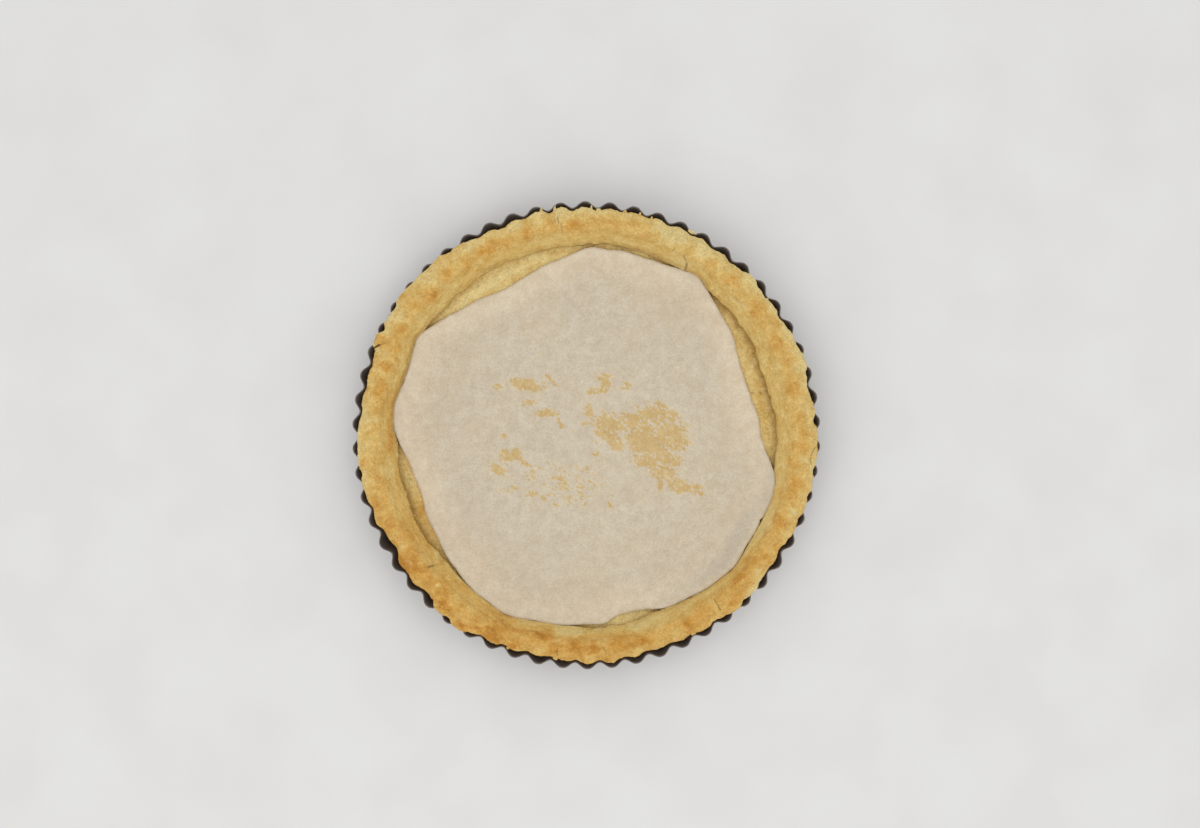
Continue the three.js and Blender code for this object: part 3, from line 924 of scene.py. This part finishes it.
def stuckShare(points):
    total = np.zeros(points.shape[:-1])
    for x, y, long, wide, turn, strength in stuckPatches:
        c, s = math.cos(math.radians(turn)), math.sin(math.radians(turn))
        dx, dy = points[..., 0] - x, points[..., 1] - y
        away = np.hypot((dx * c + dy * s) / long, (dy * c - dx * s) / wide)
        total = np.maximum(total, strength * (1 - smooth(away, 0.35, 1.65)))
    return total


def makePaper():
    s = paperShape
    angle = 360 * np.arange(s["turns"]) / s["turns"]
    foot = footRadius(angle)
    reach = np.minimum(paperReach(angle), foot - s["wallGap"])
    ragged = rough(around(angle, 110.0, 0.0), 5.0, 2, 9) * (1 - paperContact(angle))
    bays = smooth(rough(around(angle, 118.0, 0.0), 9.0, 2, 19), 0, 0.6)
    reach = reach + s["cutRoughness"] * ragged - s["bayDepth"] * bays
    reach = reach - s["nickDepth"] * hump(turnBetween(s["nickAt"], angle), 0, s["nickSpread"])

    share = np.linspace(0, 1, s["rings"]) ** s["ringSpread"]
    radius = share[None, :] * reach[:, None]
    floor = floorHeight(angle[:, None], radius, foot[:, None])
    height = floor + s["lift"] + paperClimb(angle[:, None], radius, foot[:, None])
    flat = around(angle[:, None], radius, 0.0)
    edgeward = smooth(share, 0.75, 1)[None, :]
    height = height + s["waviness"] * rough(flat, 11.0, 2, 10)
    height = height + s["fineWaviness"] * rough(flat, 4.0, 2, 11)
    height = height + s["edgeWaviness"] * edgeward * rough(flat, 26.0, 1, 12) * (height > floor + 1)
    below = around(angle[:, None], radius, height)
    above = below + [0, 0, s["thickness"]]
    grid = np.concatenate([below, above[:, ::-1]], axis=1)

    fromEdge = np.concatenate([reach[:, None] - radius, (reach[:, None] - radius)[:, ::-1]], axis=1)
    curl = curlShare(angle)[:, None]
    # painted shade: grey where the paper curls up against the wall, and darkest where its edge stands
    # upright
    bent = curl * smooth(fromEdge, 1.5, 4.5) * (1 - smooth(fromEdge, 7, 15))
    upright = 0.9 * hump(turnBetween(s["uprightAt"], angle[:, None]), 0, s["uprightSpread"])
    marks = {
        "stuck": stuckShare(grid),
        "bent": np.maximum(bent, upright * (1 - smooth(fromEdge, 2, 10))),
        # painted light: the paper made lighter towards its edge, less so where it curls up
        "light": (1 - 0.7 * curl) * (1 - smooth(fromEdge, 3, 24)),
    }
    return turnedPiece("bakingPaper", grid, marks)


def paperFinish():
    f = Finish("bakingPaper")
    clouds, mottle = f.lumps(26, 2, 0.5), f.lumps(6, 3, 0.6, seed=2.3)
    speckle, fibres = f.lumps(1.9, 3, 0.65, seed=8.1), f.lumps(0.9, 2, 0.7, seed=6.1)
    colour = f.blend(f.step(mottle, -1.1, 1.1), tone(203, 187, 162), tone(210, 198, 176))
    colour = f.blend(f.step(clouds, -0.6, 1.2) * 0.35, colour, tone(210, 191, 160))
    # painted shade where the paper curls up and stands upright
    colour = f.blend(f.mark("bent") * 0.5, colour, tone(186, 175, 158))

    # the stuck patches, which are ragged, pitted and drawn out into strokes
    ragged, flecks = f.lumps(4.2, 7, 0.8, seed=4.4), f.lumps(1.7, 3, 0.6, seed=9.3)
    cells = {"Vector": f.place, "Scale": 1 / (2.6 * mm)}
    pits = f.node("TexVoronoi", {"feature": "F1"}, cells, out="Distance")
    pits = 1 - f.step(pits + flecks * 0.06, 0.16, 0.36)
    pits = pits * f.step(f.lumps(9, 2, 0.5, seed=7.2), -0.5, 0.5)
    drawn = {"Vector": f.place, "Rotation": (0, 0, math.radians(-35)), "Scale": (7 * mm, 1.7 * mm, 3 * mm)}
    strokes = f.lumps(1, 3, 0.6, seed=5.5, at=f.node("Mapping", {"vector_type": "TEXTURE"}, drawn))
    field = f.mark("stuck") + ragged * 0.4 + strokes * 0.5 + flecks * 0.26 - pits * 0.85
    stuck = f.step(field, 0.5, 0.66)
    faint = f.step(field, 0.2, 0.6) * (1 - stuck)
    gold = f.blend(f.step(mottle + speckle, -1, 1), tone(201, 168, 108), tone(207, 178, 122))
    colour = f.blend(stuck * 0.92, colour, gold)
    colour = f.blend(faint * 0.35, colour, tone(219, 202, 166))
    # random lighter and darker tones, and painted light towards the paper's edge
    lighter = speckle * 0.07 + fibres * 0.12 + mottle * 0.035 + f.mark("light") * 0.15
    colour = f.shade(colour, lighter)

    relief = f.bump(mottle, 0.05, 0.6)
    relief = f.bump(fibres, 0.03, 0.6, relief)
    relief = f.bump(1 - stuck, 0.06, 0.4, relief)
    return f.surface({
        "Base Color": colour,
        "Roughness": 0.72 - stuck * 0.12,
        "Specular IOR Level": 0.25,
        "Normal": relief,
    })


# Crumbs and flakes that came off the pastry

crumbShape = {
    "count": 70,
    "seed": 12,
    "smallest": 0.25,  # half sizes
    "largest": 0.7,
    "sunk": 0.3,  # how much of its height is pressed into the pastry
    "nearest": 112.0,  # they lie between these distances from the centre, and above this height
    "furthest": 134.0,
    "lowest": 8.0,
    "levelness": 0.75,  # 1 where the pastry under them lies level, 0 where it is upright
    "flakeThickness": 0.35,
    "flakeTilt": 0.18,
    "flakeBend": 0.12,
}

# Thin flakes at the edge: angle, distance from the centre, height, half length round the case, half width
# and how baked they are.
flakes = [
    (62.5, 136.7, 31, 2.6, 1.1, 0.05), (36.9, 134.6, 31.5, 1, 1.3, 0.1),
    (88.7, 135.4, 31.1, 0.8, 1.7, 0.1), (86.9, 134.6, 31.4, 1.6, 1.1, 0.1),
    (80.2, 135, 31.2, 1.3, 1.4, 0.2), (76.4, 135.4, 31.2, 0.7, 1.7, 0.2),
    (73.3, 135, 31.2, 0.7, 1.4, 0.2), (101.3, 136.2, 31, 0.9, 2.2, 0.1), (97.9, 136.2, 31, 1, 2.2, 0.1),
    (155.5, 135.9, 32.1, 3, 2.6, 0.95), (148.6, 137, 31.2, 1.5, 1, 0.9), (142.9, 138, 31.2, 2.4, 1, 0.85),
    (262.2, 134, 31.6, 1.6, 1.1, 0.3), (298.4, 134.4, 31.4, 1.4, 1.2, 0.4),
    (249.8, 135.1, 31.2, 1, 1.2, 0.5),
]


def crumbBall():
    # the 12 corners and 20 faces of an even ball
    g = (1 + math.sqrt(5)) / 2
    corners = [(a, b * g, 0) for a in (-1, 1) for b in (-1, 1)]
    corners = corners + [(0, a, b) for a, b, _ in corners] + [(b, 0, a) for a, b, _ in corners]
    corners = np.array(corners) / math.hypot(1, g)
    longestEdge = 1.1  # neighbours are 1.05 apart
    faces = []
    for i, j, k in itertools.combinations(range(len(corners)), 3):
        a, b, c = corners[[i, j, k]]
        if max(np.linalg.norm(a - b), np.linalg.norm(b - c), np.linalg.norm(c - a)) < longestEdge:
            faces.append((i, j, k) if np.dot(np.cross(b - a, c - a), a) > 0 else (i, k, j))
    return corners, faces


def flakeShape(draw, long, wide):
    # a thin uneven plate with its edge bent, as corners and faces
    s = crumbShape
    sides, rings = 12, 3
    turn = 2 * math.pi * np.arange(sides) / sides
    outline = draw.uniform(0.6, 1.35, sides)
    top = [[0, 0, 0]]
    for share in (np.arange(rings) + 1) / rings:
        x, y = np.cos(turn) * outline * share * wide, np.sin(turn) * outline * share * long
        bend = draw.uniform(-s["flakeBend"], s["flakeBend"], sides) * share
        top += np.stack([x, y, bend - s["flakeTilt"] * x], axis=-1).tolist()
    top = np.array(top)
    count = len(top)
    verts = np.concatenate([top, top - [0, 0, s["flakeThickness"]]])
    faces = []
    for i in range(sides):
        j = (i + 1) % sides
        faces += [(0, 1 + i, 1 + j), (count, count + 1 + j, count + 1 + i)]
        for ring in range(rings - 1):
            a, b = 1 + ring * sides, 1 + (ring + 1) * sides
            faces.append((a + i, b + i, b + j, a + j))
            faces.append((count + a + j, count + b + j, count + b + i, count + a + i))
        last = 1 + (rings - 1) * sides
        faces.append((last + j, last + i, count + last + i, count + last + j))
    return verts, faces


def makeCrumbs(grid, out):
    s = crumbShape
    draw = np.random.default_rng(s["seed"])
    radius = np.hypot(grid[..., 0], grid[..., 1])
    openPlaces = (out[..., 2] > s["levelness"]) & (grid[..., 2] > s["lowest"])
    openPlaces = openPlaces & (radius > s["nearest"]) & (radius < s["furthest"])
    turns, places = np.nonzero(openPlaces)
    verts, faces, browning = [], [], []

    def add(corners, loops, baked):
        start = sum(len(part) for part in verts)
        verts.append(corners)
        faces.extend(tuple(corner + start for corner in loop) for loop in loops)
        browning.append(np.full(len(corners), baked))

    ball, ballFaces = crumbBall()
    for number in draw.choice(len(turns), s["count"], replace=False):
        at, way = grid[turns[number], places[number]], out[turns[number], places[number]]
        size = s["smallest"] + (s["largest"] - s["smallest"]) * draw.random() ** 2.5
        shape = ball * size * draw.uniform([0.7, 0.7, 0.4], [1.3, 1.3, 0.8])
        shape = shape * draw.uniform(0.75, 1.2, (len(ball), 1))
        turn = Matrix.Rotation(draw.uniform(0, 2 * math.pi), 3, "Z")
        upright = Vector(way).to_track_quat("Z", "Y").to_matrix() @ turn
        shape = shape @ np.array(upright).T + at + way * size * (0.5 - s["sunk"])
        add(shape, ballFaces, draw.uniform(-0.1, 0.6))
    for angle, reach, height, long, wide, baked in flakes:
        shape, loops = flakeShape(draw, long, wide)
        turn = np.array(Matrix.Rotation(math.radians(angle), 3, "Z"))
        add(shape @ turn.T + around(angle, reach, height), loops, baked)
    blank = np.zeros(sum(len(part) for part in verts))
    marks = {"baked": np.concatenate(browning)}
    marks.update(dict.fromkeys(["crease", "edge", "floury", "prick", "slope"], blank))
    return newPiece("pastryCrumbs", np.concatenate(verts), faces, marks)


print("making the pieces")
pastryMaterial = pastryFinish()
dress(makeTin(), ["tin"], tinFinish())
pastryCase, pastryGrid, pastryOut = makePastry()
dress(pastryCase, ["crust"], pastryMaterial)
dress(makeCrumbs(pastryGrid, pastryOut), [], pastryMaterial)
dress(makePaper(), ["paper"], paperFinish())

# The studio

studio = {
    "camera": (8.2, 12.7, 1026.0),  # its place, lens and sensor are in millimetres, other sizes in metres
    "lens": 50.0,
    "sensor": 36.0,
    "floorSize": 6.0,
    "keyFrom": 248.0,
    "keyUp": 50.0,
    "keyAway": 1.6,
    "keySize": 1.1,
    "keyPower": 2.7,
    "topPlace": (0.25, 0.2, 1.9),
    "topSize": 1.6,
    "topPower": 6.3,
    "sky": (0.95, 0.97, 1.0, 1.0),
    "skyStrength": 0.8,
}


def areaLight(name, place, size, power):
    light = bpy.data.lights.new(name, "AREA")
    light.size = size
    light.energy = power
    lamp = bpy.data.objects.new(name, light)
    lamp.location = place
    lamp.rotation_euler = (-Vector(place)).to_track_quat("-Z", "Y").to_euler()
    bpy.context.scene.collection.objects.link(lamp)


def makeStudio():
    s = studio
    bpy.ops.mesh.primitive_plane_add(size=s["floorSize"])
    floor = bpy.context.object
    floor.name = "studioFloor"
    f = Finish("paleFloor")
    paint = f.blend(f.step(f.lumps(60, 2), -1, 1), tone(226, 223, 218), tone(230, 228, 224))
    floor.data.materials.append(f.surface({"Base Color": paint, "Roughness": 0.8}))

    up, turn = math.radians(s["keyUp"]), math.radians(s["keyFrom"])
    key = Vector((math.cos(up) * math.cos(turn), math.cos(up) * math.sin(turn), math.sin(up)))
    areaLight("keyLight", key * s["keyAway"], s["keySize"], s["keyPower"])
    areaLight("topLight", s["topPlace"], s["topSize"], s["topPower"])

    world = bpy.data.worlds.new("studioSky")
    bpy.context.scene.world = world
    world.use_nodes = True
    sky = world.node_tree.nodes["Background"]
    sky.inputs["Color"].default_value = s["sky"]
    sky.inputs["Strength"].default_value = s["skyStrength"]

    view = bpy.data.cameras.new("photoView")
    view.lens = s["lens"]
    view.sensor_width = s["sensor"]
    camera = bpy.data.objects.new("photoView", view)
    camera.location = [part * mm for part in s["camera"]]
    bpy.context.scene.collection.objects.link(camera)
    bpy.context.scene.camera = camera
    bpy.context.scene.view_settings.view_transform = "Standard"


print("setting up the studio")
makeStudio()
